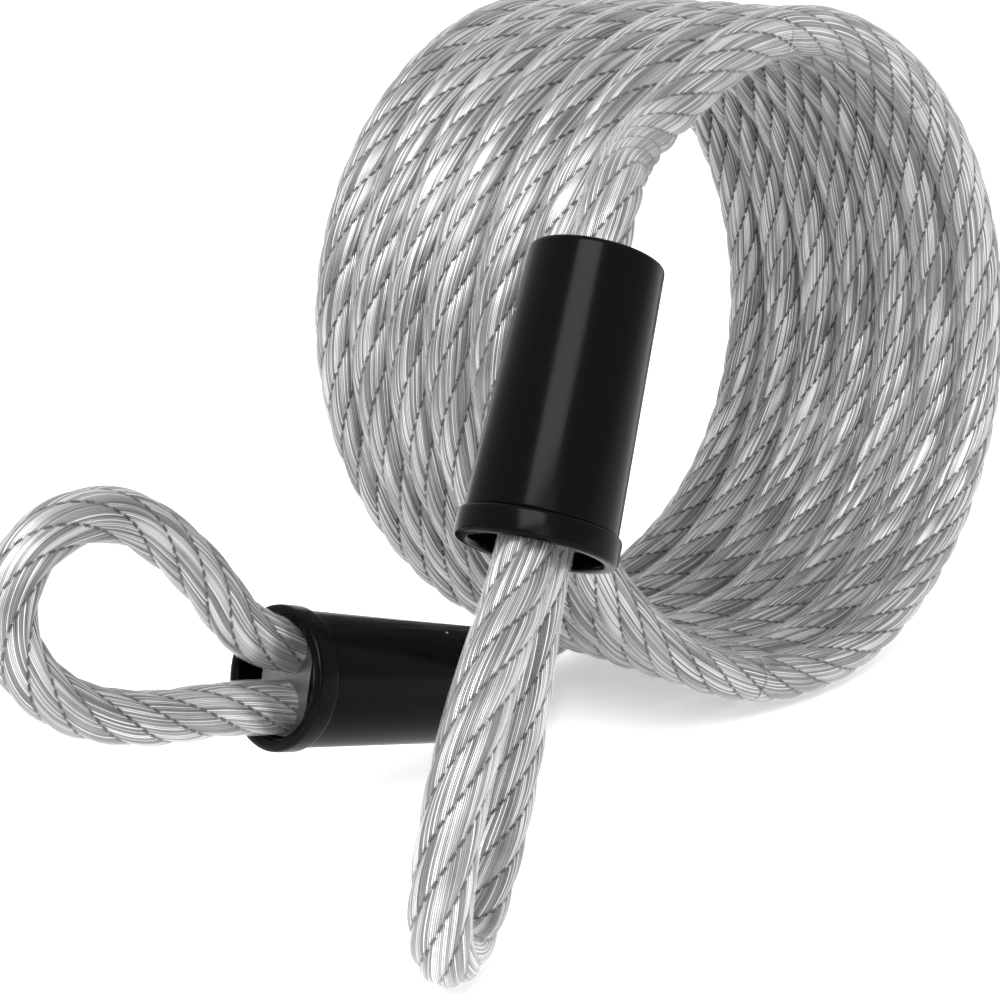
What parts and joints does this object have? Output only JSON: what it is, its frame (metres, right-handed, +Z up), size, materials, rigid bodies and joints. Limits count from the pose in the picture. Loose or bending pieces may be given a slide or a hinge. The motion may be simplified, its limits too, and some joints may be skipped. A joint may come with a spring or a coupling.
{
  "type": "laptop cable lock",
  "caption": "Self-coiling steel security cable in a clear vinyl jacket, seven turns, with a crimped eye under a black cover at each end.",
  "frame": {"origin": "under the middle of the bounding box, on the surface the cable lies on", "axes": "+Z up; the coil's axis runs along Y, its near turn toward -Y; both ends reach toward -X"},
  "size_m": [0.1433, 0.0694, 0.0863],
  "materials": {
    "clear_vinyl": "clear glossy soft vinyl",
    "steel_rope": "bright galvanised strands",
    "black_plastic": "polished moulded black",
    "bright_aluminium": "pressed, satin"
  },
  "bodies": {
    "turn_1": {"jacket_turn_1": "clear_vinyl", "rope_turn_1": "steel_rope"},
    "turn_2": {"jacket_turn_2": "clear_vinyl", "rope_turn_2": "steel_rope"},
    "turn_3": {"jacket_turn_3": "clear_vinyl", "rope_turn_3": "steel_rope"},
    "turn_4": {"jacket_turn_4": "clear_vinyl", "rope_turn_4": "steel_rope"},
    "turn_5": {"jacket_turn_5": "clear_vinyl", "rope_turn_5": "steel_rope"},
    "turn_6": {"jacket_turn_6": "clear_vinyl", "rope_turn_6": "steel_rope"},
    "turn_7": {"jacket_turn_7": "clear_vinyl", "rope_turn_7": "steel_rope"},
    "lead_a": {"lead_jacket_a": "clear_vinyl", "lead_rope_a": "steel_rope"},
    "end_a": {"neck_jacket_a": "clear_vinyl", "loop_jacket_a": "clear_vinyl", "loop_rope_a": "steel_rope", "cover_a": "black_plastic", "mouth_ring_a": "black_plastic", "ferrule_a": "bright_aluminium"},
    "lead_b": {"lead_jacket_b": "clear_vinyl", "lead_rope_b": "steel_rope"},
    "end_b": {"neck_jacket_b": "clear_vinyl", "loop_jacket_b": "clear_vinyl", "loop_rope_b": "steel_rope", "cover_b": "black_plastic", "mouth_ring_b": "black_plastic", "ferrule_b": "bright_aluminium"}
  },
  "joints": [
    {"name": "stretch_1_2", "type": "slide", "parent": "turn_1", "child": "turn_2", "axis": [0, -1, 0], "range_m": [0, 0.015], "stiffness_N_per_m": 15},
    {"name": "stretch_2_3", "type": "slide", "parent": "turn_2", "child": "turn_3", "axis": [0, -1, 0], "range_m": [0, 0.015]},
    {"name": "stretch_3_4", "type": "slide", "parent": "turn_3", "child": "turn_4", "axis": [0, -1, 0], "range_m": [0, 0.015]},
    {"name": "stretch_4_5", "type": "slide", "parent": "turn_4", "child": "turn_5", "axis": [0, -1, 0], "range_m": [0, 0.015]},
    {"name": "stretch_5_6", "type": "slide", "parent": "turn_5", "child": "turn_6", "axis": [0, -1, 0], "range_m": [0, 0.015]},
    {"name": "stretch_6_7", "type": "slide", "parent": "turn_6", "child": "turn_7", "axis": [0, -1, 0], "range_m": [0, 0.015]},
    {"name": "sway_a", "type": "hinge", "parent": "turn_7", "child": "lead_a", "pos_m": [0.0152, -0.0061, 0.07675], "axis": [0, 0, 1], "range_deg": [-5, 15]},
    {"name": "bend_a", "type": "hinge", "parent": "lead_a", "child": "end_a", "pos_m": [-0.01321, -0.01784, 0.06922], "axis": [0.585, -0.811, 0], "range_deg": [-15, 15]},
    {"name": "sway_b", "type": "hinge", "parent": "turn_1", "child": "lead_b", "pos_m": [0.0302, 0.0317, 0.0066], "axis": [0, 0, -1], "range_deg": [0, 15]},
    {"name": "bend_b", "type": "hinge", "parent": "lead_b", "child": "end_b", "pos_m": [-0.00361, 0.01477, 0.00716], "axis": [0, 1, 0], "range_deg": [-8, 15]}
  ],
  "couplings": [
    {"joint": "stretch_2_3", "follows": "stretch_1_2", "ratio": 1},
    {"joint": "stretch_3_4", "follows": "stretch_1_2", "ratio": 1},
    {"joint": "stretch_4_5", "follows": "stretch_1_2", "ratio": 1},
    {"joint": "stretch_5_6", "follows": "stretch_1_2", "ratio": 1},
    {"joint": "stretch_6_7", "follows": "stretch_1_2", "ratio": 1}
  ]
}
